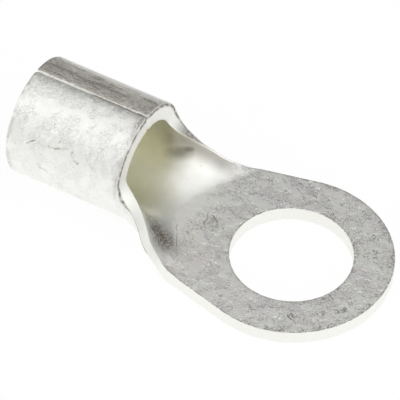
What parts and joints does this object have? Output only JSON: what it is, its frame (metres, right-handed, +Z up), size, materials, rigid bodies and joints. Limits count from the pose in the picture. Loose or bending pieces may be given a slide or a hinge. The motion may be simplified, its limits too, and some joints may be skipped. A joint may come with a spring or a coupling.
{
  "type": "ring terminal",
  "caption": "Uninsulated ring terminal: a flat round palm with a stud hole, a short open trough for a neck, and a rolled barrel with a brazed seam for a stripped conductor.",
  "frame": {"origin": "centre of the stud hole, on the underside of the palm, which is level with the underside of the barrel", "axes": "+Z up along the stud hole, +X from the barrel towards the palm's tip, +Y across the palm"},
  "size_m": [0.0425, 0.022, 0.0133],
  "materials": {
    "tinned_copper": "electro-tinned copper, satin, with fine scuffs from tumbling"
  },
  "bodies": {
    "root": {"ring_terminal": "tinned_copper"}
  },
  "joints": []
}
